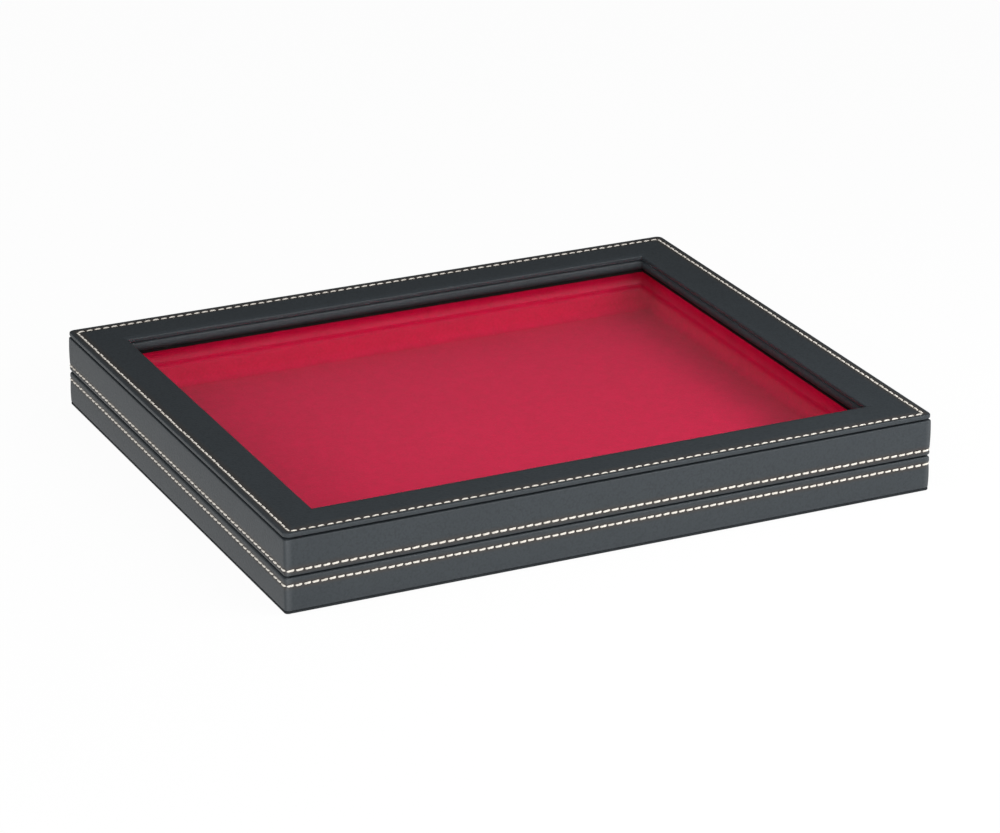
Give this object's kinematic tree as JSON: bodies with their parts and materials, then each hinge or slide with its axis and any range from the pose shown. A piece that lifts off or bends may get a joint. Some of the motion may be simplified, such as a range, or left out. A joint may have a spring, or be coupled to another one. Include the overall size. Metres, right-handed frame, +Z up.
{
  "type": "coin display case",
  "caption": "Flat stitched leatherette display box with a hinged glass-windowed lid over a deep red flocked tray.",
  "frame": {"origin": "on the table, under the middle of the box's footprint without the hinge barrels", "axes": "+Z up, +X along the long side, -Y towards the front, the hinges are on the back at +Y"},
  "size_m": [0.303, 0.2554, 0.0355],
  "materials": {
    "leatherette": "matte",
    "fibreboard": "matte",
    "black_board": "matte",
    "greyboard": "matte",
    "black_velour": "matte",
    "red_flock": "matte",
    "clear_glass": "polished",
    "nickelled_steel": "satin",
    "screw_steel": "satin",
    "magnet_steel": "satin"
  },
  "bodies": {
    "base": {"base_sole": "leatherette", "base_board": "fibreboard", "base_rail_front": "fibreboard", "base_rail_back": "fibreboard", "base_rail_left": "fibreboard", "base_rail_right": "fibreboard", "base_wrap": "leatherette", "base_lining": "black_velour", "base_hinge_leaf_left": "nickelled_steel", "base_hinge_leaf_right": "nickelled_steel", "hinge_pin_left": "nickelled_steel", "hinge_pin_right": "nickelled_steel", "base_hinge_screws": "screw_steel", "base_magnets": "magnet_steel"},
    "insert": {"insert_tray": "red_flock"},
    "lid": {"lid_rail_front": "fibreboard", "lid_rail_back": "fibreboard", "lid_rail_left": "fibreboard", "lid_rail_right": "fibreboard", "frame_board_front": "black_board", "frame_board_back": "black_board", "frame_board_left": "black_board", "frame_board_right": "black_board", "lid_wrap": "leatherette", "lid_lining": "black_velour", "window_liner": "leatherette", "window_pane": "clear_glass", "pane_strip_front": "black_velour", "pane_strip_back": "black_velour", "pane_strip_left": "black_velour", "pane_strip_right": "black_velour", "panel_riser": "black_board", "top_panel": "greyboard", "top_panel_cover": "leatherette", "lid_hinge_leaf_left": "nickelled_steel", "lid_hinge_leaf_right": "nickelled_steel", "lid_hinge_screws": "screw_steel", "lid_strike_plates": "magnet_steel"}
  },
  "joints": [
    {"name": "lid_hinge", "type": "hinge", "parent": "base", "child": "lid", "pos_m": [0, 0.12785, 0.01615], "axis": [-1, 0, 0], "range_deg": [0, 95]},
    {"name": "insert_lift", "type": "slide", "parent": "base", "child": "insert", "axis": [0, 0, 1], "range_m": [0, 0.014]}
  ],
  "couplings": [
    {"joint": "insert_lift", "follows": "lid_hinge", "m_per_rad": 0.00844}
  ]
}
